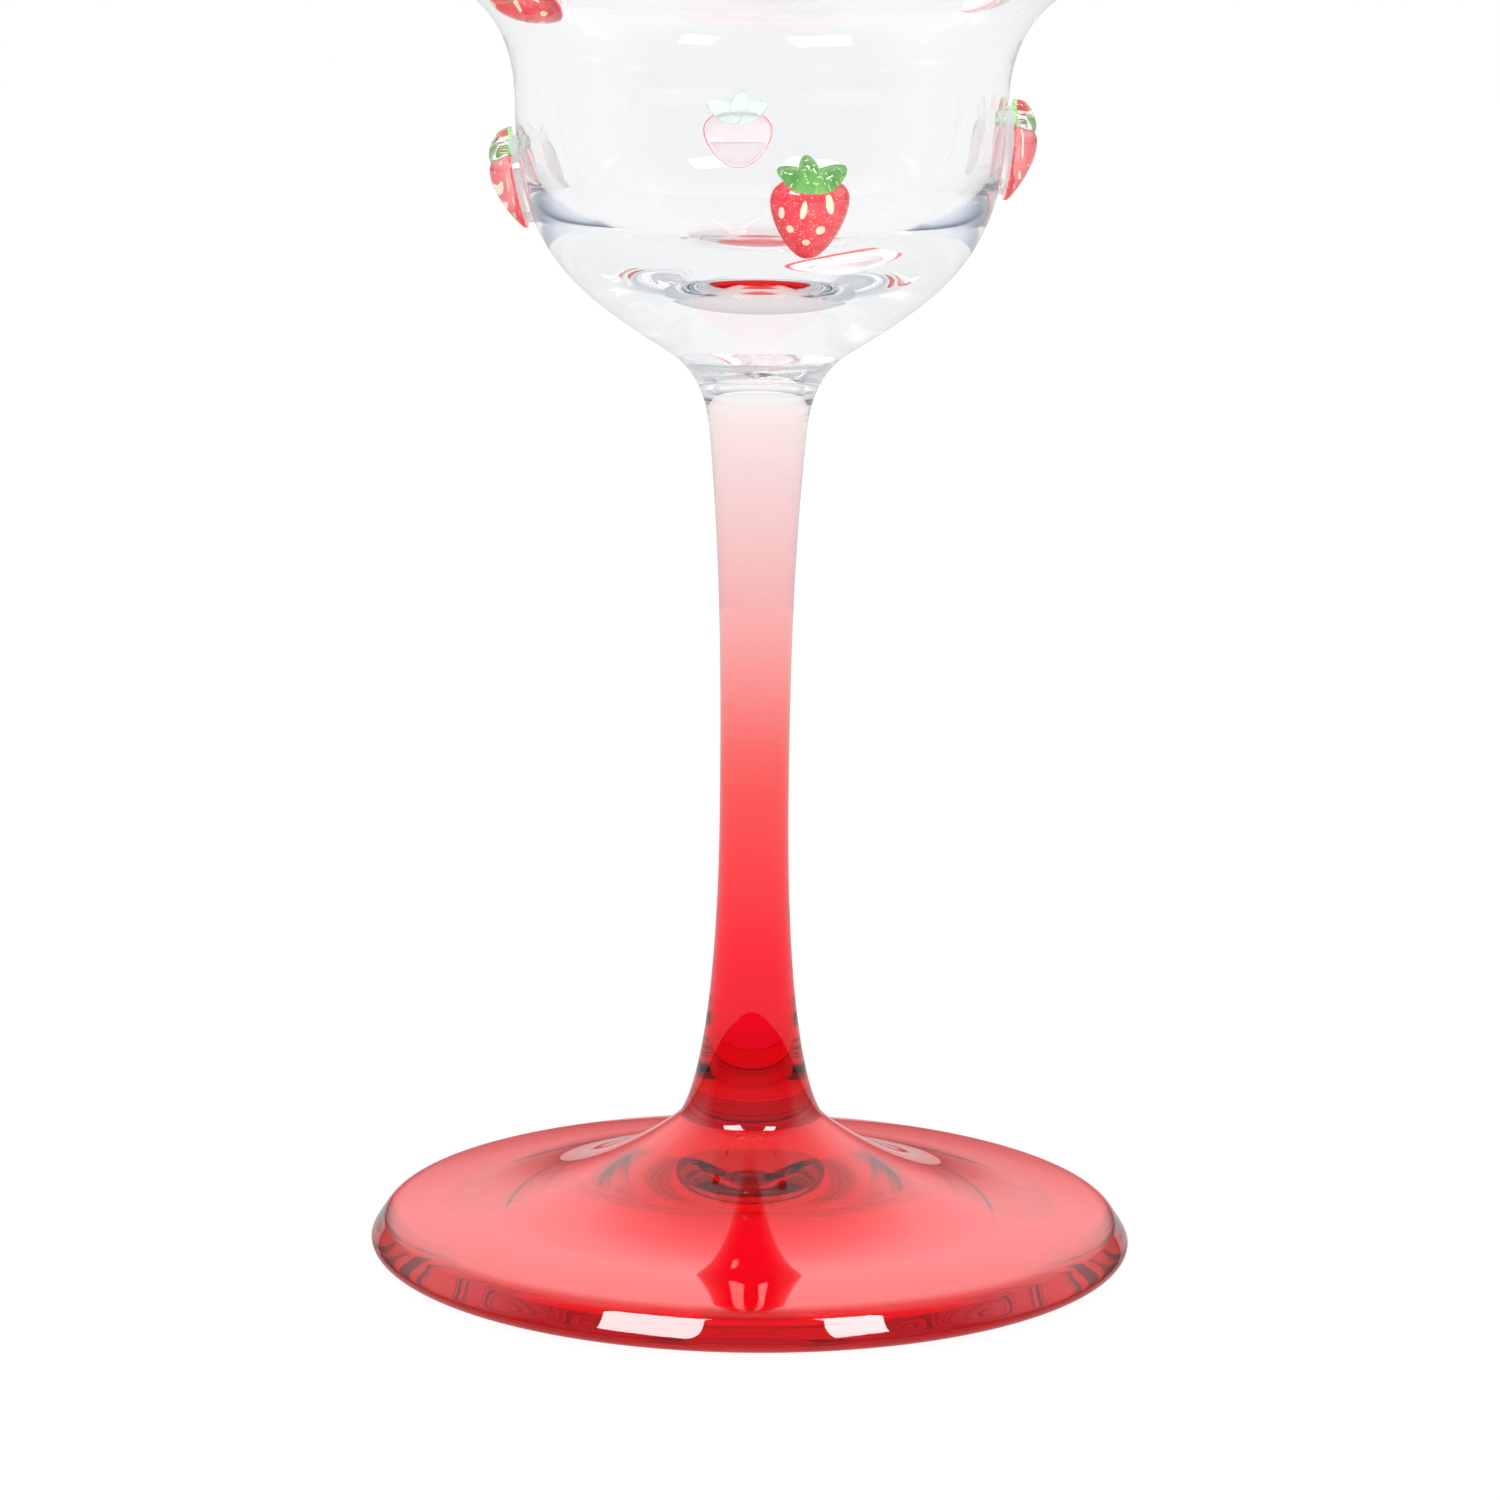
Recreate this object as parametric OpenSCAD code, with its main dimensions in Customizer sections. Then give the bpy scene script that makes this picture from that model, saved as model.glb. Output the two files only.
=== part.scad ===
// Margarita glass: a clear two-tier bowl, an ombre stem and a red foot, fused in one line,
// with flat-backed resin strawberries glued round the outside of the bowl.
// The axis of the glass is Z, it stands on z = 0 and its front faces -Y. Sizes are in millimetres.

/* [Foot] */
// Diameter of the foot
foot_d = 80; // [72:1:88]
// Height of the foot where its rounded rim starts
foot_rim_t = 4.25; // [3.5:0.05:5]
// Height of the seat that the stem is fused to
seat_h = 14.3; // [12:0.1:17]
// Rise of the hollow under the foot
hollow_h = 8.5; // [6:0.25:9.5]

/* [Stem] */
// Length of the stem between its two fused ends
stem_h = 80.5; // [72:0.1:90]
// Diameter of the stem at its waist
waist_d = 7.2; // [6:0.2:9]
// Diameter of the lower end of the stem, on the foot
seat_d = 15; // [13:0.2:17]
// Diameter of the upper end of the stem, under the bowl
neck_d = 17.8; // [15:0.2:20]

/* [Bowl] */
// Outer diameter of the lower cup
cup_d = 50.2; // [46:0.2:54]
// Height of the lower cup, from the stem to the start of the shoulder
cup_h = 25.2; // [23:0.2:28]
// Height of the shoulder that spreads into the upper bowl
shoulder_h = 13.6; // [12:0.2:16]
// Width that the shoulder adds on each side
shoulder_w = 8.4; // [7:0.2:10]
// Height of the upper bowl above the shoulder
coupe_h = 38.4; // [34:0.2:44]
// Outer diameter of the rim
rim_d = 112; // [104:1:120]
// Thickness of the wall
wall_t = 2.2; // [1.8:0.1:2.8]
// Thickness of the rounded lip
lip_t = 1.8; // [1.4:0.1:2]
// Solid glass between the stem and the floor of the cup
base_t = 8.6; // [7:0.2:10]

/* [Charms] */
// Width of a strawberry
charm_w = 7.9; // [6.5:0.1:9]
// Height of the clear dome over a strawberry's coloured back
dome_h = 2.6; // [2.2:0.1:3]
// Thickness of the coloured enamel under the dome
layer_t = 0.3; // [0.2:0.05:0.5]
// Clear adhesive between the wall and the middle of a strawberry's flat back
glue_t = 0.45; // [0.4:0.05:0.7]
// Directions of the strawberries on the cup, turned from the front
cup_charm_turns = [11, 95, 186, 265]; // [0:1:360]
// Places of those strawberries up the wall of the cup
cup_charm_places = [0.83, 0.92, 0.89, 0.83]; // [0.78:0.01:0.92]
// Directions of the strawberries on the upper bowl, turned from the front
coupe_charm_turns = [52, 137, 228, 316]; // [0:1:360]
// Places of those strawberries up the wall of the upper bowl
coupe_charm_places = [0.2, 0.14, 0.2, 0.01]; // [0:0.01:0.3]
// Angles at which those strawberries lean away from the wall, where their tips lie over the shoulder
coupe_charm_leans = [0, 0, 0, 6.5]; // [0:0.5:8]

/* [Hidden] */
$fn = 96;
// Straight pieces that each curve is drawn with, in the outlines of the glass and of the strawberries
glass_steps = 14;
charm_steps = 8;

// A cubic curve [start, way out of it, end, way into it]: it leaves its start along the first way
// and reaches its end along the second
function curve_point(c, t) =
    pow(1 - t, 3) * c[0]
    + 3 * pow(1 - t, 2) * t * (c[0] + c[1])
    + 3 * (1 - t) * t * t * (c[2] - c[3])
    + pow(t, 3) * c[2];

function curve_way(c, t) =
    let (middle = c[2] - c[3] - c[0] - c[1])
    let (way = pow(1 - t, 2) * c[1] + 2 * (1 - t) * t * middle + t * t * c[3])
    way / norm(way);

// The points of a curve after its start
function curve(c, steps = glass_steps) = [for (i = [1:steps]) curve_point(c, i / steps)];

// Radii
foot_r = foot_d / 2;
seat_r = seat_d / 2;
waist_r = waist_d / 2;
neck_r = neck_d / 2;
cup_r = cup_d / 2;
cup_in_r = cup_r - wall_t;
rim_r = rim_d / 2;
lip_r = lip_t / 2;

// Heights above the table
neck_z = seat_h + stem_h;
waist_z = seat_h + 0.42 * stem_h;
floor_z = neck_z + base_t;
cup_z = neck_z + cup_h;
shoulder_z = cup_z + shoulder_h;
lip_z = shoulder_z + coupe_h - lip_r;

// Outline of the foot, as [radius, height]: a mound, a plain part that slopes gently to a rounded rim with a
// steep side, a flat ring to stand on and a hollow
plain_w = 7.7;
plain_rise = 0.85;
rim_w = 3.2;
rim_side_w = 1.3;
rim_drop = 0.9;
rim_edge_z = 1.2;
ring_inset = 1.7;
ring_w = 5.3;
rim_in_r = foot_r - rim_w;
plain_in_r = rim_in_r - plain_w;
ring_out_r = foot_r - ring_inset;
plain_start = [plain_in_r, foot_rim_t + plain_rise];
rim_top = [rim_in_r, foot_rim_t];
rim_side = [foot_r - rim_side_w, foot_rim_t - rim_drop];
rim_edge = [foot_r, rim_edge_z];
ring_out = [ring_out_r, 0];
ring_in = [ring_out_r - ring_w, 0];
mound_top_way = [1.1, -1.35];
mound_end_way = [10.9, -0.75];
plain_start_way = [3, -0.21];
plain_end_way = [2.4, -0.36];
rim_top_way = [0.85, -0.14];
rim_turn_way = [0.4, -0.55];
rim_side_way = [0.85, -1.25];
rim_edge_way = [0, -0.25];
rim_low_way = [0, -0.65];
rim_under_way = [-0.9, 0];
hollow_edge_way = [-4, 0.2];
hollow_top_way = [-16, 0];
foot_outline = concat(
    [[0, seat_h], [seat_r, seat_h]],
    curve([[seat_r, seat_h], mound_top_way, plain_start, mound_end_way]),
    curve([plain_start, plain_start_way, rim_top, plain_end_way]),
    curve([rim_top, rim_top_way, rim_side, rim_turn_way]),
    curve([rim_side, rim_side_way, rim_edge, rim_edge_way]),
    curve([rim_edge, rim_low_way, ring_out, rim_under_way]),
    [ring_in],
    curve([ring_in, hollow_edge_way, [0, hollow_h], hollow_top_way])
);

// Outline of the stem: flared at both ends and thinnest a little under its middle. It leaves the foot along
// the slope of the mound.
collar_w = 1.5;
collar_h = 7.3;
collar_r = waist_r + collar_w;
collar_z = neck_z - collar_h;
stem_seat_way = [-0.4, 0.5];
waist_under_way = [0, 28];
waist_over_way = [0, 12];
collar_under_way = [1.4, 14];
collar_over_way = [0.4, 3.5];
stem_neck_way = [2, 1.5];
stem_outline = concat(
    [[0, seat_h], [seat_r, seat_h]],
    curve([[seat_r, seat_h], stem_seat_way, [waist_r, waist_z], waist_under_way]),
    curve([[waist_r, waist_z], waist_over_way, [collar_r, collar_z], collar_under_way]),
    curve([[collar_r, collar_z], collar_over_way, [neck_r, neck_z], stem_neck_way]),
    [[0, neck_z]]
);

// Outlines of the bowl: a cup with a thick solid base, a shoulder and a wide upper bowl
cup_base_way = [9.7, 6.2];
cup_side_way = [0, 15];
shoulder_start_way = [0, 8.5];
shoulder_end_reach = 5;
coupe_start_reach = 14;
rim_way = [0.8, 20];
floor_side_way = [0, -13];
floor_middle_way = [-15, 0];
// The slope at which the shoulder runs into the upper bowl
spread = [cos(26), sin(26)];
inward = [-spread[1], spread[0]];
shoulder_out = [cup_r + shoulder_w, shoulder_z];
shoulder_in = shoulder_out + wall_t * inward;
cup_curve = [[neck_r, neck_z], cup_base_way, [cup_r, cup_z], cup_side_way];
coupe_curve = [shoulder_out, coupe_start_reach * spread, [rim_r, lip_z], rim_way];
bowl_outside = concat(
    [[0, neck_z], [neck_r, neck_z]],
    curve(cup_curve),
    curve([[cup_r, cup_z], shoulder_start_way, shoulder_out, shoulder_end_reach * spread]),
    curve(coupe_curve)
);
lip_turn = [for (a = [15:15:180]) [rim_r - lip_r + lip_r * cos(a), lip_z + lip_r * sin(a)]];
// The inside of the shoulder turns round a larger bend than its outside
bowl_inside = concat(
    curve([[rim_r - lip_t, lip_z], -rim_way, shoulder_in, -coupe_start_reach * spread]),
    curve([shoulder_in, -1.2 * shoulder_end_reach * spread, [cup_in_r, cup_z], -shoulder_start_way]),
    curve([[cup_in_r, cup_z], floor_side_way, [0, floor_z], floor_middle_way])
);

// A strawberry lies with its flat back on local z = 0, its leaves towards +Y and its widest line on y = 0.
// Its outlines are [half width, height], in halves of its width.
half_w = charm_w / 2;
// Half width of the blunt ends of the berry and its leaves
blunt = 0.04;
berry_half = concat(
    [[blunt, -1.5]],
    curve([[blunt, -1.5], [0.42, 0], [1, 0], [0, 0.55]], charm_steps),
    curve([[1, 0], [0, 0.4], [blunt, 0.6], [-0.55, 0]], charm_steps)
);
// Leaves of the crown: [root, tip, width]
leaves = [
    [[0.1, 0.33], [-0.86, 0.79], 0.47],
    [[-0.07, 0.33], [0.88, 0.82], 0.47],
    [[0.06, 0.45], [-0.19, 1.13], 0.42]
];
// Each leaf leans from high on the dome of the berry down to the coloured back
leaf_root_z = 0.6 * dome_h;
leaf_tip_z = 0.15 * dome_h;
// The dome of the berry is the front of a turned solid whose axis lies behind the coloured back
berry_sink = (half_w * half_w - dome_h * dome_h) / (2 * dome_h);
// Seeds: [place across, place up, half width, half length, lean]
seed_spots = [
    [-0.63, -0.27, 0.08, 0.14, 0],
    [-0.14, -0.2, 0.065, 0.18, -8],
    [0.38, -0.09, 0.08, 0.18, 12],
    [-0.42, -0.65, 0.085, 0.1, 20],
    [0.22, -0.65, 0.095, 0.11, -20],
    [-0.06, -0.98, 0.085, 0.09, 0]
];
// The adhesive stays a little inside the outline, and reaches past the curve of the wall
glue_share = 0.92;
glue_reach = 1.8;

// Every strawberry: [name, turn from the front, curve of the wall, place along that curve, lean]
charms = concat(
    [for (i = [0:3]) [str("cup_charm_", i + 1), cup_charm_turns[i], cup_curve, cup_charm_places[i], 0]],
    [for (i = [0:3])
        [str("coupe_charm_", i + 1), coupe_charm_turns[i], coupe_curve, coupe_charm_places[i], coupe_charm_leans[i]]]
);
charm_pieces = ["dome", "berry_layer", "leaf_layer", "seeds", "glue"];

module bowl() {
    color([0.93, 0.95, 0.96, 0.4])
        rotate_extrude()
            polygon(concat(bowl_outside, lip_turn, bowl_inside));
}

module stem() {
    color([0.98, 0.42, 0.42, 0.7])
        rotate_extrude()
            polygon(stem_outline);
}

module foot() {
    color([0.87, 0.05, 0.12, 0.8])
        rotate_extrude()
            polygon(foot_outline);
}

// The bowl without its hollow, round enough to shape the thin adhesive against
module solid_bowl() {
    rotate_extrude($fn = 720)
        polygon(concat(bowl_outside, [[0, lip_z]]));
}

// Sets a strawberry on the wall, with local +Z out of the glass and +Y up along the wall
module on_wall(charm) {
    place = curve_point(charm[2], charm[3]);
    way = curve_way(charm[2], charm[3]);
    rotate([0, 0, charm[1]])
        translate([0, -place[0], place[1]])
            rotate([atan2(way[1], -way[0]), 0, 0])
                translate([0, 0, glue_t])
                    rotate([-charm[4], 0, 0])
                        children();
}

// The whole outline whose right half is given, from one end to the other
function both_sides(half) = concat(half, [for (i = [len(half) - 1:-1:0]) [-half[i][0], half[i][1]]]);

// A solid turned about the local Y axis
module turned(half) {
    ends = [[0, half[0][1]], [0, half[len(half) - 1][1]]];
    rotate([-90, 0, 0])
        rotate_extrude()
            polygon(concat([ends[0]], half, [ends[1]]));
}

function scaled(points, k) = [for (p = points) k * p];

function leaf_length(leaf) = half_w * norm(leaf[1] - leaf[0]);

// Half outline of a leaf: widest near its middle and rounded at both ends
function leaf_half(leaf) =
    let (l = leaf_length(leaf), w = half_w * leaf[2], b = half_w * blunt)
    concat([[b, 0]], curve([[b, 0], [0.75 * w, 0], [b, l], [-0.6 * w, 0.2 * l]], charm_steps));

module on_leaf(leaf) {
    run = leaf[1] - leaf[0];
    translate(half_w * [leaf[0][0], leaf[0][1], 0])
        rotate(atan2(run[1], run[0]) - 90)
            children();
}

module berry_shape() {
    polygon(both_sides(scaled(berry_half, half_w)));
}

module leaf_shape() {
    for (leaf = leaves)
        on_leaf(leaf)
            polygon(both_sides(leaf_half(leaf)));
}

module seed_shape() {
    for (s = seed_spots)
        translate(half_w * [s[0], s[1]])
            rotate(s[4])
                polygon([for (a = [0:30:330]) half_w * [s[2] * cos(a), s[3] * sin(a)]]);
}

// Clear resin: a dome over the berry, and leaves that lean on its shoulders
module dome() {
    color([1, 0.9, 0.9, 0.5])
        translate([0, 0, layer_t])
            intersection() {
                union() {
                    translate([0, 0, -berry_sink])
                        turned([for (p = scaled(berry_half, half_w)) [norm([p[0], berry_sink]), p[1]]]);
                    for (leaf = leaves)
                        on_leaf(leaf)
                            translate([0, 0, leaf_root_z])
                                rotate([atan2(leaf_tip_z - leaf_root_z, leaf_length(leaf)), 0, 0])
                                    turned(leaf_half(leaf));
                }
                translate([-charm_w, -charm_w, 0])
                    cube([2 * charm_w, 2 * charm_w, charm_w]);
            }
}

// Red enamel under the berry, left open where the leaves and the seeds are
module berry_layer() {
    color([0.9, 0.16, 0.22])
        linear_extrude(layer_t)
            difference() {
                berry_shape();
                leaf_shape();
                seed_shape();
            }
}

// Green enamel under the leaves
module leaf_layer() {
    color([0.36, 0.68, 0.33])
        linear_extrude(layer_t)
            leaf_shape();
}

// Cream enamel seeds, in the openings of the red enamel
module seeds() {
    color([0.99, 0.89, 0.72])
        linear_extrude(layer_t)
            seed_shape();
}

// Clear adhesive that fills the gap between the flat back and the curved wall
module glue(charm) {
    color([1, 1, 1, 0.4])
        difference() {
            on_wall(charm)
                translate([0, 0, -glue_reach])
                    linear_extrude(glue_reach)
                        polygon(both_sides(scaled(berry_half, glue_share * half_w)));
            solid_bowl();
        }
}

bowl();
stem();
foot();
for (c = charms) {
    on_wall(c) dome();
    on_wall(c) berry_layer();
    on_wall(c) leaf_layer();
    on_wall(c) seeds();
    glue(c);
}
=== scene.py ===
"""Dresses the margarita glass: smooth clear and red glass, resin strawberries and a white studio."""

import math

import bmesh
import bpy
import numpy as np
from mathutils import Matrix, Vector


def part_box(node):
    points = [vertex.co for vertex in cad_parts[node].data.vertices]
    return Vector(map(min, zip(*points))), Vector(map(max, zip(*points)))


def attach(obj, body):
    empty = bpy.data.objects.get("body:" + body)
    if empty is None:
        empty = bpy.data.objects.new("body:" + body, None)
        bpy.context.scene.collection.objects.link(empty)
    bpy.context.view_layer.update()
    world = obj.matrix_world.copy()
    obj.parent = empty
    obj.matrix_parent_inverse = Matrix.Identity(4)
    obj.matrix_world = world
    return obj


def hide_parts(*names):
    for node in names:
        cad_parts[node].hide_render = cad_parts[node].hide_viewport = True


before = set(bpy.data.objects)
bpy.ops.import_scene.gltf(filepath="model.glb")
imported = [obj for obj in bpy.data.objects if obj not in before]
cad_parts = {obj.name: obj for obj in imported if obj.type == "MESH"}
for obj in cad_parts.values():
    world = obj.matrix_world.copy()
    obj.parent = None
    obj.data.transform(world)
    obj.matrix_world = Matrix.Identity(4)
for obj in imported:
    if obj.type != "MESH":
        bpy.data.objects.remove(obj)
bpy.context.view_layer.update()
scene = bpy.context.scene

# Sizes are in millimetres until a mesh is made
MM = 0.001
TURN_STEPS = 256
CURVE_STEPS = 40
LIP_STEPS = 24
SEED_STEPS = 24


# Curves, as in the part's own source: [start, way out of it, end, way into it]
def curve_point(curve, t):
    start, way_out, end, way_in = (Vector(v) for v in curve)
    return (
        (1 - t) ** 3 * start
        + 3 * (1 - t) ** 2 * t * (start + way_out)
        + 3 * (1 - t) * t**2 * (end - way_in)
        + t**3 * end
    )


def curve_way(curve, t):
    start, way_out, end, way_in = (Vector(v) for v in curve)
    middle = end - way_in - start - way_out
    return ((1 - t) ** 2 * way_out + 2 * (1 - t) * t * middle + t**2 * way_in).normalized()


def trace(*curves, steps=CURVE_STEPS):
    """The points of some curves that follow on from each other."""
    points = [Vector(curves[0][0])]
    for curve in curves:
        points += [curve_point(curve, i / steps) for i in range(1, steps + 1)]
    return points


# Main sizes, from the solids
foot_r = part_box("foot")[1].x / MM
seat_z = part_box("foot")[1].z / MM
neck_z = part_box("bowl")[0].z / MM
rim_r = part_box("bowl")[1].x / MM
top_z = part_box("bowl")[1].z / MM
stem_h = neck_z - seat_z

# Outlines of the three glass pieces, as [radius, height]
seat_r = 7.5
foot_rim_t = 4.25
plain_end = (foot_r - 10.9, foot_rim_t + 0.85)
rim_top = (foot_r - 3.2, foot_rim_t)
rim_side = (foot_r - 1.3, foot_rim_t - 0.9)
foot_edge = (foot_r, 1.2)
ring_out = (foot_r - 1.7, 0)
ring_in = (ring_out[0] - 5.3, 0)
hollow_h = 8.5
# The foot and the bowl stop a hair short of the stem, so that light crosses one joined face at a time
seam_gap = 0.01
foot_top = seat_z - seam_gap
foot_outline = (
    [Vector((0, foot_top))]
    + trace(
        [(seat_r, foot_top), (1.1, -1.35), plain_end, (10.9, -0.75)],
        [plain_end, (3, -0.21), rim_top, (2.4, -0.36)],
        [rim_top, (0.85, -0.14), rim_side, (0.4, -0.55)],
        [rim_side, (0.85, -1.25), foot_edge, (0, -0.25)],
        [foot_edge, (0, -0.65), ring_out, (-0.9, 0)],
    )
    + trace([ring_in, (-4, 0.2), (0, hollow_h), (-16, 0)])
)

waist = (3.6, seat_z + 0.42 * stem_h)
collar = (5.1, neck_z - 7.3)
neck = (8.9, neck_z)
stem_outline = (
    [Vector((0, seat_z))]
    + trace(
        [(seat_r, seat_z), (-0.4, 0.5), waist, (0, 28)],
        [waist, (0, 12), collar, (1.4, 14)],
        [collar, (0.4, 3.5), neck, (2, 1.5)],
    )
    + [Vector((0, neck_z))]
)

wall_t = 2.2
lip_r = 0.9
lip_z = top_z - lip_r
cup_side = (25.1, neck_z + 25.2)
cup_inside = (cup_side[0] - wall_t, cup_side[1])
floor_z = neck_z + 8.6
slope = math.radians(26)
spread = Vector((math.cos(slope), math.sin(slope)))
shoulder_out = Vector((cup_side[0] + 8.4, cup_side[1] + 13.6))
shoulder_in = shoulder_out + wall_t * Vector((-spread.y, spread.x))
bowl_bottom = neck_z + seam_gap
shoulder_way = Vector((0, 8.5))
coupe_way = 14 * spread
rim_way = Vector((0.8, 20))
cup_curve = [(neck[0], bowl_bottom), (9.7, 6.2), cup_side, (0, 15)]
coupe_curve = [shoulder_out, coupe_way, (rim_r, lip_z), rim_way]
lip_middle = Vector((rim_r - lip_r, lip_z))
lip_turns = [math.pi * i / LIP_STEPS for i in range(1, LIP_STEPS)]
lip = [lip_middle + lip_r * Vector((math.cos(a), math.sin(a))) for a in lip_turns]
bowl_outline = (
    [Vector((0, bowl_bottom))]
    + trace(cup_curve, [cup_side, shoulder_way, shoulder_out, 5 * spread], coupe_curve)
    + lip
    + trace(
        [(rim_r - 2 * lip_r, lip_z), -rim_way, shoulder_in, -coupe_way],
        [shoulder_in, -6 * spread, cup_inside, -shoulder_way],
        [cup_inside, (0, -13), (0, floor_z), (-15, 0)],
    )
)

# Strawberries: a flat coloured back at local z = 0, leaves towards +Y, sizes in halves of the width
half_w = 3.95
dome_h = 2.6
layer_t = 0.3
glue_t = 0.45
blunt = 0.04
# Heights of a leaf at its root and its tip, as shares of the dome's
leaf_root_share = 0.6
leaf_tip_share = 0.15
berry_half = trace(
    [(blunt, -1.5), (0.42, 0), (1, 0), (0, 0.55)],
    [(1, 0), (0, 0.4), (blunt, 0.6), (-0.55, 0)],
)
# Leaves of the crown: (root, tip, width)
leaves = [
    ((0.1, 0.33), (-0.86, 0.79), 0.47),
    ((-0.07, 0.33), (0.88, 0.82), 0.47),
    ((0.06, 0.45), (-0.19, 1.13), 0.42),
]
# Seeds: (place across, place up, half width, half length, lean)
seeds = [
    (-0.63, -0.27, 0.08, 0.14, 0),
    (-0.14, -0.2, 0.065, 0.18, -8),
    (0.38, -0.09, 0.08, 0.18, 12),
    (-0.42, -0.65, 0.085, 0.1, 20),
    (0.22, -0.65, 0.095, 0.11, -20),
    (-0.06, -0.98, 0.085, 0.09, 0),
]
# Places: (name, turn from the front, curve of the wall, place along that curve, lean away from the wall)
charms = [
    ("cup_charm_1", 11, cup_curve, 0.83, 0),
    ("cup_charm_2", 95, cup_curve, 0.92, 0),
    ("cup_charm_3", 186, cup_curve, 0.89, 0),
    ("cup_charm_4", 265, cup_curve, 0.83, 0),
    ("coupe_charm_1", 52, coupe_curve, 0.2, 0),
    ("coupe_charm_2", 137, coupe_curve, 0.14, 0),
    ("coupe_charm_3", 228, coupe_curve, 0.2, 0),
    ("coupe_charm_4", 316, coupe_curve, 0.01, 6.5),
]


# Materials
def new_material(name, **values):
    """A material with one Principled shader, and its constant values set on the shader's own sockets."""
    material = bpy.data.materials.new(name)
    material.use_nodes = True
    shader = material.node_tree.nodes["Principled BSDF"]
    for socket, value in values.items():
        shader.inputs[socket.replace("_", " ")].default_value = value
    return material, material.node_tree, shader


def add_node(tree, kind, **values):
    node = tree.nodes.new(kind)
    for socket, value in values.items():
        node.inputs[socket.replace("_", " ")].default_value = value
    return node


def add_ramp(tree, stops):
    """A colour ramp with these stops: (place, colour)."""
    ramp = tree.nodes.new("ShaderNodeValToRGB")
    elements = ramp.color_ramp.elements
    while len(elements) < len(stops):
        elements.new(0.5)
    for element, (place, colour) in zip(elements, stops):
        element.position = place
        element.color = (*colour, 1)
    return ramp


def add_waves(tree, shader, scale, height):
    """Slow, faint waves in a polished surface."""
    place = tree.nodes.new("ShaderNodeTexCoord")
    noise = add_node(tree, "ShaderNodeTexNoise", Scale=scale, Detail=1.0)
    bump = add_node(tree, "ShaderNodeBump", Strength=1.0, Distance=height)
    tree.links.new(place.outputs["Object"], noise.inputs["Vector"])
    tree.links.new(noise.outputs["Fac"], bump.inputs["Height"])
    tree.links.new(bump.outputs["Normal"], shader.inputs["Normal"])
    return place


# Colour that the inside of the glass lets through: the nearer a channel is to one, the less of it is lost
CLEAR_DEPTH = (0.996, 0.9963, 0.9965)
RED_DEPTH = (0.965, 0.0, 0.05)
LOSS_PER_METRE = 200.0


def add_absorption(tree, colour):
    """Colour that deepens with the way that light goes inside the glass."""
    depth = add_node(tree, "ShaderNodeVolumeAbsorption", Color=(*colour, 1), Density=LOSS_PER_METRE)
    tree.links.new(depth.outputs["Volume"], tree.nodes["Material Output"].inputs["Volume"])


def make_clear_glass():
    material, tree, shader = new_material(
        "clear_glass", Base_Color=(0.985, 0.988, 0.99, 1), Roughness=0.0, IOR=1.5, Transmission_Weight=1.0
    )
    add_waves(tree, shader, 35, 0.00001)
    add_absorption(tree, CLEAR_DEPTH)
    return material


# The sprayed tint: that of the foot, and that of the stem at these heights. Near the seat the stem's red is
# darkened further as painted shade
FOOT_RED = (0.95, 0.002, 0.014)
STEM_TINT_AND_BASE_SHADE = [
    # Painted shade: the two lowest heights are darker than the spray, for the shade at the stem's base
    (14, (0.6, 0.0005, 0.006)),
    (20, (0.72, 0.0008, 0.008)),
    (26, (0.95, 0.002, 0.017)),
    (32, (1.0, 0.009, 0.026)),
    (40, (1.0, 0.042, 0.05)),
    (49, (1.0, 0.085, 0.082)),
    (54, (1.0, 0.145, 0.135)),
    (70, (1.0, 0.495, 0.485)),
    (84, (1.0, 0.76, 0.75)),
    (89, (1.0, 0.85, 0.835)),
    (92, (0.985, 0.96, 0.955)),
]


def make_ombre_and_shade_glass():
    """Glass with a sprayed tint that fades upwards, with the slight unevenness of the spray, and with painted
    shade that darkens its red towards the foot.
    """
    material, tree, shader = new_material("ombre_glass", Roughness=0.0, IOR=1.5, Transmission_Weight=1.0)
    place = add_waves(tree, shader, 60, 0.000008)
    split = tree.nodes.new("ShaderNodeSeparateXYZ")
    drift = 1.2 * MM
    mist = add_node(tree, "ShaderNodeTexNoise", Scale=900.0, Detail=3.0)
    uneven = add_node(tree, "ShaderNodeMapRange", To_Min=-drift, To_Max=drift)
    height = tree.nodes.new("ShaderNodeMath")
    along = add_node(tree, "ShaderNodeMapRange", From_Min=seat_z * MM, From_Max=neck_z * MM)
    ramp = add_ramp(tree, [(max((z - seat_z) / stem_h, 0), c) for z, c in STEM_TINT_AND_BASE_SHADE])
    tree.links.new(place.outputs["Object"], split.inputs["Vector"])
    tree.links.new(place.outputs["Object"], mist.inputs["Vector"])
    tree.links.new(mist.outputs["Fac"], uneven.inputs["Value"])
    tree.links.new(split.outputs["Z"], height.inputs[0])
    tree.links.new(uneven.outputs["Result"], height.inputs[1])
    tree.links.new(height.outputs["Value"], along.inputs["Value"])
    tree.links.new(along.outputs["Result"], ramp.inputs["Fac"])
    tree.links.new(ramp.outputs["Color"], shader.inputs["Base Color"])
    return material


def make_red_glass():
    """Glass with an even sprayed red, a little denser in places."""
    material, tree, shader = new_material("red_glass", Roughness=0.0, IOR=1.5, Transmission_Weight=1.0)
    place = add_waves(tree, shader, 40, 0.00001)
    mist = add_node(tree, "ShaderNodeTexNoise", Scale=120.0, Detail=4.0)
    ramp = add_ramp(tree, [(0.3, FOOT_RED), (0.7, (1.0, 0.004, 0.022))])
    tree.links.new(place.outputs["Object"], mist.inputs["Vector"])
    tree.links.new(mist.outputs["Fac"], ramp.inputs["Fac"])
    tree.links.new(ramp.outputs["Color"], shader.inputs["Base Color"])
    add_absorption(tree, RED_DEPTH)
    return material


def make_resin(name, colour):
    material, tree, shader = new_material(
        name, Base_Color=(*colour, 1), Roughness=0.0, IOR=1.52, Transmission_Weight=1.0
    )
    add_waves(tree, shader, 400, 0.000004)
    return material


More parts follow.
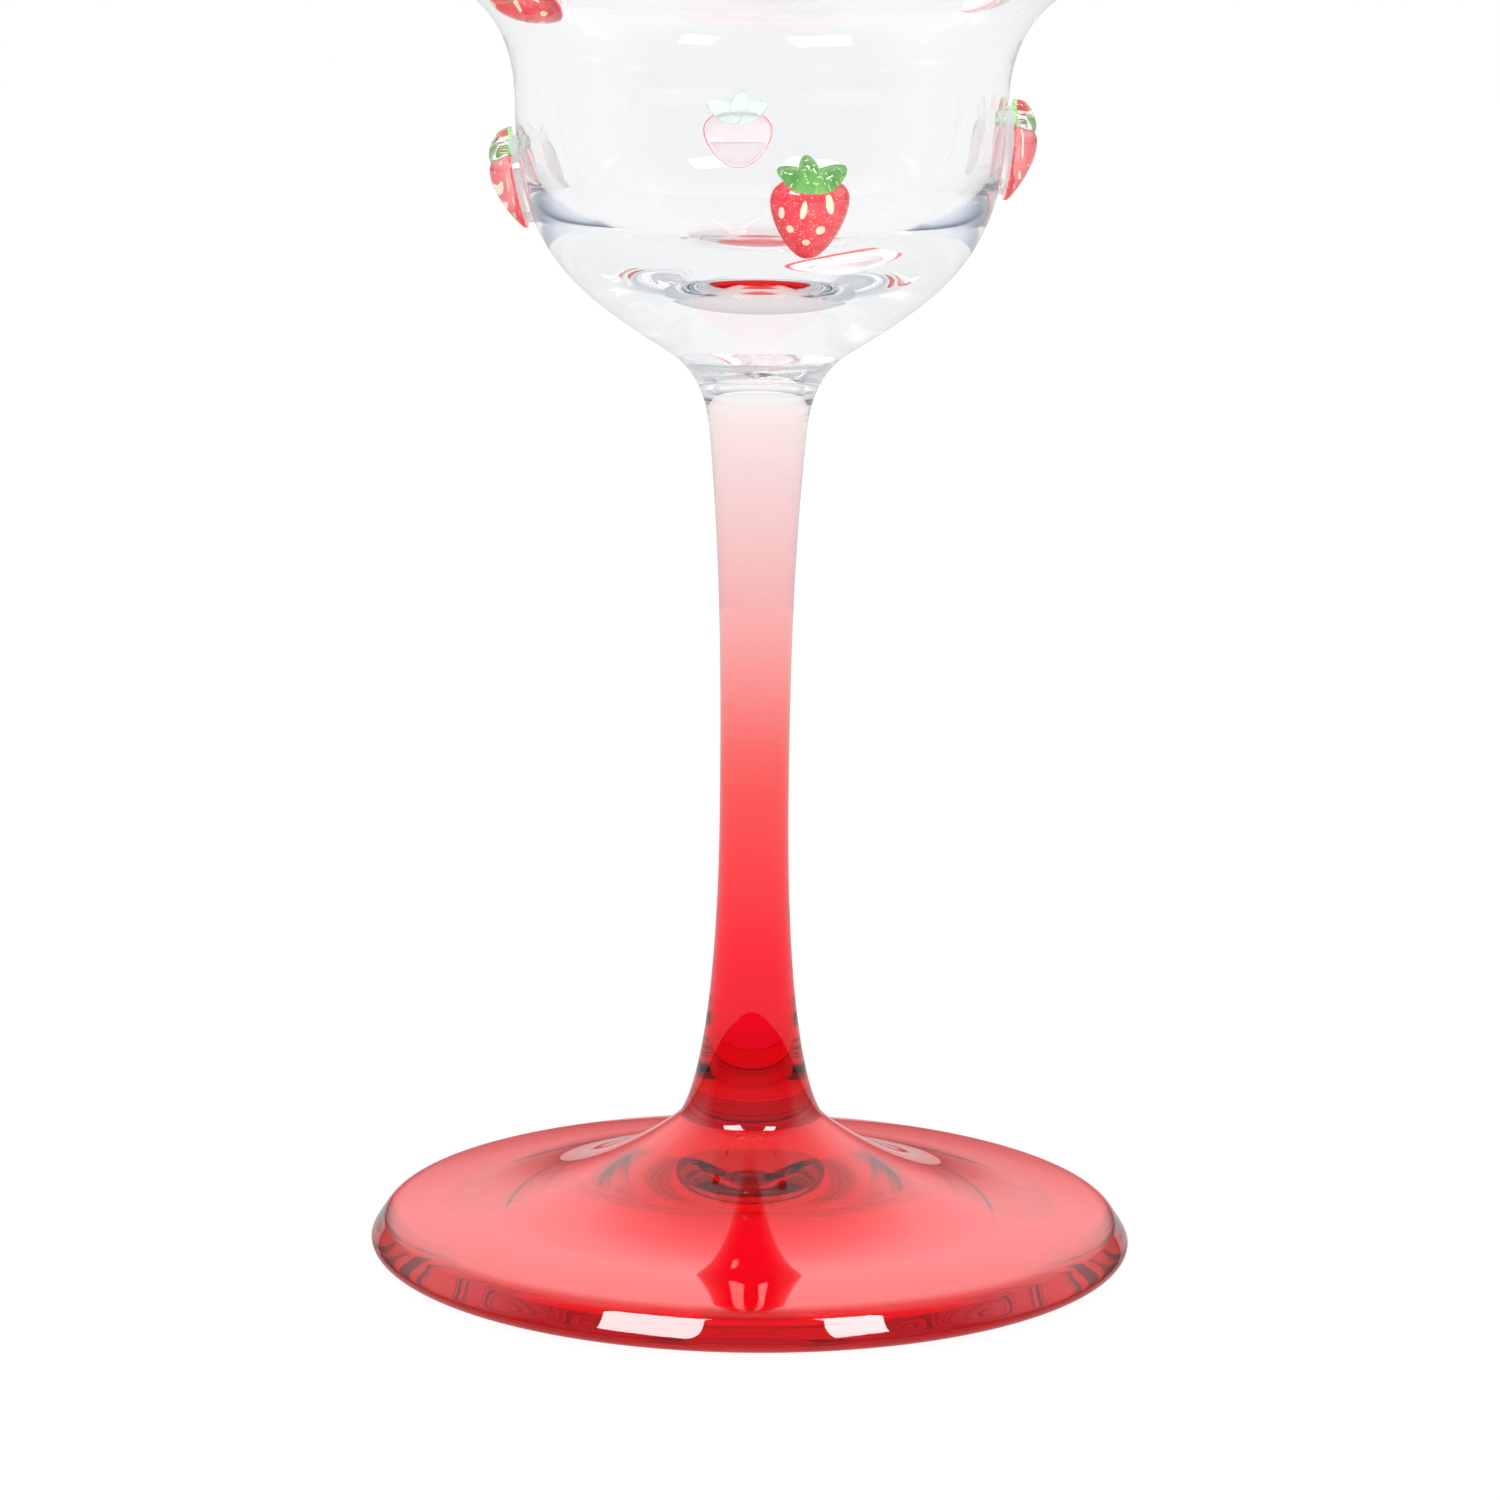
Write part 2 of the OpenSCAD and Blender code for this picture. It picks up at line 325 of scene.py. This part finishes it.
def make_joined_face(name, depth=None):
    """A face inside the joined pieces, where light goes straight on."""
    material, tree, _ = new_material(name, Base_Color=(1, 1, 1, 1), Alpha=0.0)
    if depth:
        add_absorption(tree, depth)
    return material


def make_enamel(name, dark, light, glitter, share=0.06):
    """Enamel with cloudy colour and fine glitter on a share of its surface."""
    material, tree, shader = new_material(name, Roughness=0.35, IOR=1.5)
    place = tree.nodes.new("ShaderNodeTexCoord")
    cloud = add_node(tree, "ShaderNodeTexNoise", Scale=700.0, Detail=3.0)
    colour = add_ramp(tree, [(0.35, dark), (0.65, light)])
    specks = add_node(tree, "ShaderNodeTexVoronoi", Scale=11000.0)
    chosen = add_node(tree, "ShaderNodeMapRange", From_Min=1 - share, From_Max=1 - 0.8 * share)
    split = tree.nodes.new("ShaderNodeSeparateColor")
    mix = tree.nodes.new("ShaderNodeMix")
    mix.data_type = "RGBA"
    share_in, colour_in, glitter_in, colour_out = mix.inputs[0], mix.inputs[6], mix.inputs[7], mix.outputs[2]
    glitter_in.default_value = (*glitter, 1)
    tree.links.new(place.outputs["Object"], cloud.inputs["Vector"])
    tree.links.new(place.outputs["Object"], specks.inputs["Vector"])
    tree.links.new(cloud.outputs["Fac"], colour.inputs["Fac"])
    tree.links.new(specks.outputs["Color"], split.inputs["Color"])
    tree.links.new(split.outputs["Red"], chosen.inputs["Value"])
    tree.links.new(chosen.outputs["Result"], share_in)
    tree.links.new(colour.outputs["Color"], colour_in)
    tree.links.new(colour_out, shader.inputs["Base Color"])
    return material


clear_glass = make_clear_glass()
ombre_glass = make_ombre_and_shade_glass()
red_glass = make_red_glass()
clear_resin = make_resin("clear_resin", (1.0, 0.985, 0.985))
adhesive = make_resin("clear_adhesive", (1.0, 0.985, 0.97))
joined_face = make_joined_face("joined_face")
joined_red_face = make_joined_face("joined_red_face", RED_DEPTH)
joined_clear_face = make_joined_face("joined_clear_face", CLEAR_DEPTH)
red_enamel = make_enamel("red_enamel", (0.85, 0.026, 0.036), (0.95, 0.07, 0.08), (0.97, 0.42, 0.44))
green_enamel = make_enamel("green_enamel", (0.09, 0.37, 0.06), (0.22, 0.55, 0.12), (0.72, 0.92, 0.5))
cream_enamel = make_enamel("cream_enamel", (0.94, 0.72, 0.46), (0.98, 0.83, 0.6), (1.0, 0.95, 0.85), 0.1)
pink_pearl = make_enamel("pink_pearl", (0.57, 0.5, 0.52), (0.61, 0.535, 0.555), (0.66, 0.6, 0.62))
mint_pearl = make_enamel("mint_pearl", (0.56, 0.625, 0.6), (0.6, 0.66, 0.635), (0.66, 0.7, 0.69))


# Meshes
def finish_mesh(name, bm, materials):
    """A mesh with these materials from a closed bmesh in metres, with its faces turned outwards."""
    bmesh.ops.recalc_face_normals(bm, faces=bm.faces[:])
    mesh = bpy.data.meshes.new(name)
    bm.to_mesh(mesh)
    bm.free()
    for material in materials:
        mesh.materials.append(material)
    return mesh


def place_piece(name, mesh, replaced, matrix):
    """A piece of the object that takes the place of a node."""
    piece = bpy.data.objects.new(name, mesh)
    scene.collection.objects.link(piece)
    piece.matrix_world = matrix
    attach(piece, "root")
    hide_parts(replaced)
    return piece


def add_turned_glass(node, outline, materials, seams):
    """A glass piece turned about the axis. Its flat faces at the seams are joined to the next piece."""
    near = 0.1 * seam_gap
    bm = bmesh.new()
    turns = [2 * math.pi * i / TURN_STEPS for i in range(TURN_STEPS)]
    rings = []
    for radius, height in outline:
        around = [(radius * math.cos(a), radius * math.sin(a)) for a in turns] if radius > near else [(0, 0)]
        rings.append([bm.verts.new((x * MM, y * MM, height * MM)) for x, y in around])
    for low, high, start, end in zip(rings, rings[1:], outline, outline[1:]):
        joined = any(abs(start.y - z) < near and abs(end.y - z) < near for z in seams)
        for i in range(TURN_STEPS):
            j = (i + 1) % TURN_STEPS
            corners = [low[i % len(low)], low[j % len(low)], high[j % len(high)], high[i % len(high)]]
            face = bm.faces.new(list(dict.fromkeys(corners)))
            face.material_index = int(joined)
    mesh = finish_mesh(f"{node}_glass", bm, materials)
    mesh.shade_smooth()
    mesh.set_sharp_from_angle(angle=math.radians(25))
    piece = place_piece(f"{node}_glass", mesh, node, Matrix())
    piece.visible_shadow = False


def leaf_frame(leaf):
    """Root, direction and length of a leaf, in millimetres."""
    root, tip = half_w * Vector(leaf[0]), half_w * Vector(leaf[1])
    return root, (tip - root).normalized(), (tip - root).length


def leaf_half(leaf):
    """Half outline of a leaf along its length, in millimetres."""
    length, width, end = leaf_frame(leaf)[2], half_w * leaf[2], half_w * blunt
    return trace([(end, 0), (0.75 * width, 0), (end, length), (-0.6 * width, 0.2 * length)])


def dome_height(x, y):
    """Height of the clear dome over its coloured back, in millimetres, and below zero outside its outline."""
    # How deep the axis of the turned dome lies, and how fast the dome ends past its blunt ends
    sink = (half_w**2 - dome_h**2) / (2 * dome_h)
    end_fall = 3
    half_y = [half_w * p.y for p in berry_half]
    half_x = [half_w * p.x for p in berry_half]
    past_ends = np.maximum(half_y[0] - y, 0) + np.maximum(y - half_y[-1], 0)
    half = np.interp(y, half_y, half_x)
    height = np.sqrt(np.maximum(half**2 + sink**2 - x**2 - end_fall * past_ends, 0)) - sink
    for leaf in leaves:
        root, way, length = leaf_frame(leaf)
        along = (x - root.x) * way.x + (y - root.y) * way.y
        across = (y - root.y) * way.x - (x - root.x) * way.y
        half = np.interp(along, *zip(*[(p.y, p.x) for p in leaf_half(leaf)]), left=0, right=0)
        middle = dome_h * (leaf_root_share + (leaf_tip_share - leaf_root_share) * along / length)
        round_top = middle + np.sqrt(np.maximum(half**2 - across**2, 0))
        height = np.where(np.abs(across) < half, np.maximum(height, round_top), height)
    return height


def make_dome_mesh():
    """The clear dome of a strawberry, on a fine grid that is cut off at its coloured back."""
    step = 0.08
    xs = np.arange(-1.2 * half_w, 1.2 * half_w, step)
    ys = np.arange(-1.7 * half_w, 1.4 * half_w, step)
    heights = dome_height(*np.meshgrid(xs, ys))
    bm = bmesh.new()
    rows = []
    for y, row in zip(ys, heights):
        rows.append([bm.verts.new((x * MM, y * MM, (layer_t + z) * MM)) for x, z in zip(xs, row)])
    for low, high in zip(rows, rows[1:]):
        for i in range(len(xs) - 1):
            bm.faces.new((low[i], low[i + 1], high[i + 1], high[i]))
    for _ in range(3):
        bmesh.ops.smooth_vert(bm, verts=bm.verts[:], factor=0.5, use_axis_z=True)
    bmesh.ops.bisect_plane(
        bm,
        geom=bm.verts[:] + bm.edges[:] + bm.faces[:],
        plane_co=(0, 0, layer_t * MM),
        plane_no=(0, 0, 1),
        clear_inner=True,
    )
    edge = [e for e in bm.edges if e.is_boundary]
    under = bmesh.ops.triangle_fill(bm, edges=edge, use_beauty=True)["geom"]
    for face in under:
        if isinstance(face, bmesh.types.BMFace):
            face.material_index = 1
    mesh = finish_mesh("strawberry_dome", bm, [clear_resin, joined_face])
    mesh.shade_smooth()
    mesh.set_sharp_from_angle(angle=math.radians(50))
    return mesh


def add_plate(bm, outline, low, high, edge):
    """A thin plate: its front takes material 0, its back 1 and its edge, with a border on the back, 2."""
    middle = sum(outline, Vector((0, 0))) / len(outline)
    border = [middle + edge * (p - middle) for p in outline]

    def ring(points, z):
        return [bm.verts.new((p.x * MM, p.y * MM, z * MM)) for p in points]

    front, back, inner = ring(outline, high), ring(outline, low), ring(border, low)
    bm.faces.new(front).material_index = 0
    bm.faces.new(inner).material_index = 1
    for one, other in ((front, back), (back, inner)):
        for i in range(len(one)):
            j = (i + 1) % len(one)
            bm.faces.new((one[i], one[j], other[j], other[i])).material_index = 2


def both_sides(half):
    return half + [Vector((-p.x, p.y)) for p in reversed(half)]


def make_plate_mesh(name, outlines, materials, thicker, edge):
    """Plates of enamel just under the dome, each a hair thicker than the last where they cross."""
    under_dome, hair = 0.03, 0.004
    bm = bmesh.new()
    for i, outline in enumerate(outlines):
        extra = thicker + hair * i
        add_plate(bm, outline, -extra, layer_t - under_dome + extra, edge)
    return finish_mesh(name, bm, materials)


def leaf_outline(leaf):
    root, way, length = leaf_frame(leaf)
    side = Vector((way.y, -way.x))
    return [root + p.x * side + p.y * way for p in both_sides(leaf_half(leaf))]


def seed_outline(seed):
    x, y, half_across, half_up, lean = seed
    tilt = Matrix.Rotation(math.radians(lean), 2)
    turns = [2 * math.pi * i / SEED_STEPS for i in range(SEED_STEPS)]
    oval = [Vector((half_across * math.cos(a), half_up * math.sin(a))) for a in turns]
    return [half_w * (Vector((x, y)) + tilt @ p) for p in oval]


def wall_matrix(turn, curve, place, lean):
    """Where a strawberry sits: local +Z out of the glass and +Y up along the wall."""
    point, way = curve_point(curve, place), curve_way(curve, place)
    return (
        Matrix.Rotation(math.radians(turn), 4, "Z")
        @ Matrix.Translation((0, -point.x * MM, point.y * MM))
        @ Matrix.Rotation(math.atan2(way.y, -way.x), 4, "X")
        @ Matrix.Translation((0, 0, glue_t * MM))
        @ Matrix.Rotation(-math.radians(lean), 4, "X")
    )


def make_charm_meshes():
    """The meshes that all the strawberries share, by piece: (mesh, slot)."""
    berries = [[half_w * p for p in both_sides(berry_half)]]
    crowns = [leaf_outline(leaf) for leaf in leaves]
    ovals = [seed_outline(seed) for seed in seeds]
    reds = [red_enamel, pink_pearl, red_enamel]
    greens = [green_enamel, mint_pearl, green_enamel]
    creams = [cream_enamel, pink_pearl, pink_pearl]
    return {
        "dome": (make_dome_mesh(), "clear_resin"),
        "berry_layer": (make_plate_mesh("red_layer", berries, reds, 0.0, 0.97), "red_enamel"),
        "leaf_layer": (make_plate_mesh("green_layer", crowns, greens, 0.01, 0.97), "green_enamel"),
        "seeds": (make_plate_mesh("seeds", ovals, creams, 0.01, 0.98), "cream_enamel"),
    }


def add_charms():
    """Every strawberry on the wall. Its clear dome and adhesive let the lamps shine through."""
    meshes = make_charm_meshes()
    for name, *place in charms:
        matrix = wall_matrix(*place)
        for node, (mesh, slot) in meshes.items():
            piece = place_piece(f"{name}_{node}_dressed", mesh, f"{name}_{node}", matrix)
            piece.visible_shadow = node != "dome"
        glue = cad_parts[f"{name}_glue"]
        glue.data.materials.clear()
        glue.data.materials.append(adhesive)
        glue.visible_shadow = False


add_turned_glass("foot", foot_outline, [red_glass, joined_red_face], [foot_top])
add_turned_glass("stem", stem_outline, [ombre_glass, joined_face], [seat_z, neck_z])
add_turned_glass("bowl", bowl_outline, [clear_glass, joined_clear_face], [bowl_bottom])
add_charms()


# Studio
def add_math(tree, operation, *values):
    """The result of some maths on sockets and numbers."""
    node = tree.nodes.new("ShaderNodeMath")
    node.operation = operation
    for socket, value in zip(node.inputs, values):
        if isinstance(value, (int, float)):
            socket.default_value = value
        else:
            tree.links.new(value, socket)
    return node.outputs["Value"]


def add_mirror_test(tree):
    """One for rays that a surface mirrors, and zero for those that come through it or are scattered."""
    rays = tree.nodes.new("ShaderNodeLightPath")
    return add_math(tree, "GREATER_THAN", rays.outputs["Is Glossy Ray"], rays.outputs["Is Transmission Ray"])


def add_scatter_test(tree):
    """One for rays on their way from a dull surface such as enamel, and zero for all others."""
    rays = tree.nodes.new("ShaderNodeLightPath")
    return add_math(tree, "MINIMUM", rays.outputs["Diffuse Depth"], 1.0)


def add_floor():
    """A white table top with a faint shadow. The glass shows it a little darker, and so keeps its outline."""
    reach, height = 1500, -0.3
    through_glass, mirror_loss, enamel_gain, own_light = 0.94, 0.35, 0.7, 0.95
    mesh = bpy.data.meshes.new("floor")
    corners = [(-reach, -reach), (reach, -reach), (reach, reach), (-reach, reach)]
    mesh.from_pydata([(x * MM, y * MM, height * MM) for x, y in corners], [], [(0, 1, 2, 3)])
    floor = bpy.data.objects.new("floor", mesh)
    scene.collection.objects.link(floor)
    material, tree, shader = new_material("white_table", Base_Color=(1, 1, 1, 1), Roughness=1.0)
    shader.inputs["Specular IOR Level"].default_value = 0.0
    glow = add_node(tree, "ShaderNodeEmission")
    rays = tree.nodes.new("ShaderNodeLightPath")
    seen = add_math(tree, "MULTIPLY_ADD", rays.outputs["Is Camera Ray"], 1 - through_glass, through_glass)
    on_enamel = add_math(tree, "MULTIPLY_ADD", add_scatter_test(tree), enamel_gain, seen)
    strength = add_math(tree, "MULTIPLY_ADD", add_mirror_test(tree), -mirror_loss, on_enamel)
    mix = add_node(tree, "ShaderNodeMixShader", Fac=own_light)
    output = tree.nodes["Material Output"]
    tree.links.new(shader.outputs["BSDF"], mix.inputs[1])
    tree.links.new(strength, glow.inputs["Strength"])
    tree.links.new(glow.outputs["Emission"], mix.inputs[2])
    tree.links.new(mix.outputs["Shader"], output.inputs["Surface"])
    material.cycles.emission_sampling = "NONE"
    mesh.materials.append(material)


def add_world():
    """White behind and over the glass, bluish side walls and a darker room behind the camera."""
    # Mirrored rays see more of the dark room, and the light that they find grows with its height
    mirror_turn, mirror_loss, enamel_gain = 0.12, 0.8, 1.4
    wall_stops = [
        (0.24, (0.2, 0.23, 0.29)),
        (0.34, (0.52, 0.57, 0.66)),
        (0.42, (0.8, 0.85, 0.94)),
        (0.52, (1.0, 1.0, 1.0)),
    ]
    light_stops = [(0.0, 0.0), (0.12, 0.3), (0.3, 1.2), (0.55, 1.7), (0.85, 1.1)]
    world = bpy.data.worlds.new("studio")
    scene.world = world
    world.use_nodes = True
    world.cycles.sampling_method = "NONE"
    tree = world.node_tree
    room = tree.nodes["Background"]
    white = add_node(tree, "ShaderNodeBackground", Color=(1, 1, 1, 1), Strength=1.0)
    place = tree.nodes.new("ShaderNodeTexCoord")
    split = tree.nodes.new("ShaderNodeSeparateXYZ")
    rays = tree.nodes.new("ShaderNodeLightPath")
    back = add_node(tree, "ShaderNodeMapRange", From_Min=-1.0, From_Max=1.0)
    walls = add_ramp(tree, wall_stops)
    light = add_ramp(tree, [(height, (level, level, level)) for height, level in light_stops])
    tree.links.new(place.outputs["Generated"], split.inputs["Vector"])
    tree.links.new(split.outputs["Y"], back.inputs["Value"])
    tree.links.new(split.outputs["Z"], light.inputs["Fac"])
    mirrored = add_mirror_test(tree)
    direction = add_math(tree, "MULTIPLY_ADD", mirrored, -mirror_turn, back.outputs["Result"])
    mirror_gain = add_math(tree, "SUBTRACT", light.outputs["Color"], mirror_loss)
    on_enamel = add_math(tree, "MULTIPLY_ADD", add_scatter_test(tree), enamel_gain, 1.0)
    strength = add_math(tree, "MULTIPLY_ADD", mirrored, mirror_gain, on_enamel)
    tree.links.new(direction, walls.inputs["Fac"])
    tree.links.new(walls.outputs["Color"], room.inputs["Color"])
    tree.links.new(strength, room.inputs["Strength"])
    choose = tree.nodes.new("ShaderNodeMixShader")
    tree.links.new(rays.outputs["Is Camera Ray"], choose.inputs["Fac"])
    tree.links.new(room.outputs["Background"], choose.inputs[1])
    tree.links.new(white.outputs["Background"], choose.inputs[2])
    tree.links.new(choose.outputs["Shader"], tree.nodes["World Output"].inputs["Surface"])


def add_softbox(name, azimuth, elevation, width, height, power, mirrored):
    """A soft lamp in front that faces the stem. It either shows in mirrors or lights the enamel."""
    distance, target = 1.3, Vector((0, 0, 0.1))
    turn, lift = math.radians(azimuth), math.radians(elevation)
    way = Vector((math.sin(turn) * math.cos(lift), -math.cos(turn) * math.cos(lift), math.sin(lift)))
    lamp = bpy.data.lights.new(name, "AREA")
    lamp.shape = "RECTANGLE"
    lamp.size, lamp.size_y, lamp.energy = width, height, power
    softbox = bpy.data.objects.new(name, lamp)
    scene.collection.objects.link(softbox)
    softbox.location = target + distance * way
    softbox.rotation_euler = way.to_track_quat("Z", "Y").to_euler()
    softbox.visible_camera = False
    softbox.visible_transmission = False
    softbox.visible_glossy = mirrored
    softbox.visible_diffuse = not mirrored


def add_camera():
    """The photograph's view: a long lens a little above the glass, turned slightly to one side."""
    distance, height, aside = 570, 167.4, -0.5
    tilt, roll = math.radians(11.32), math.radians(0.6)
    camera = bpy.data.objects.new("camera", bpy.data.cameras.new("camera"))
    scene.collection.objects.link(camera)
    camera.data.sensor_width = 36
    camera.data.lens = 133.94
    camera.data.clip_start = 0.01
    camera.matrix_world = (
        Matrix.Translation((aside * MM, -distance * MM, height * MM))
        @ Matrix.Rotation(math.pi / 2 - tilt, 4, "X")
        @ Matrix.Rotation(roll, 4, "Z")
    )
    scene.camera = camera


add_floor()
add_world()
add_softbox("left_softbox", -36, 46, 0.6, 0.42, 15, True)
add_softbox("right_softbox", 39, 46, 0.35, 0.36, 8, True)
add_softbox("left_fill", -40, 10, 0.7, 0.5, 3.5, False)
add_softbox("right_fill", 40, 10, 0.7, 0.5, 3.5, False)
add_camera()

scene.view_settings.view_transform = "Standard"
# Light goes round inside the thick base, the stem and the foot many times
MANY_BOUNCES = 256
scene.cycles.max_bounces = MANY_BOUNCES
scene.cycles.transmission_bounces = MANY_BOUNCES
scene.cycles.glossy_bounces = MANY_BOUNCES
scene.cycles.transparent_max_bounces = MANY_BOUNCES
scene.cycles.caustics_refractive = True
scene.cycles.caustics_reflective = False
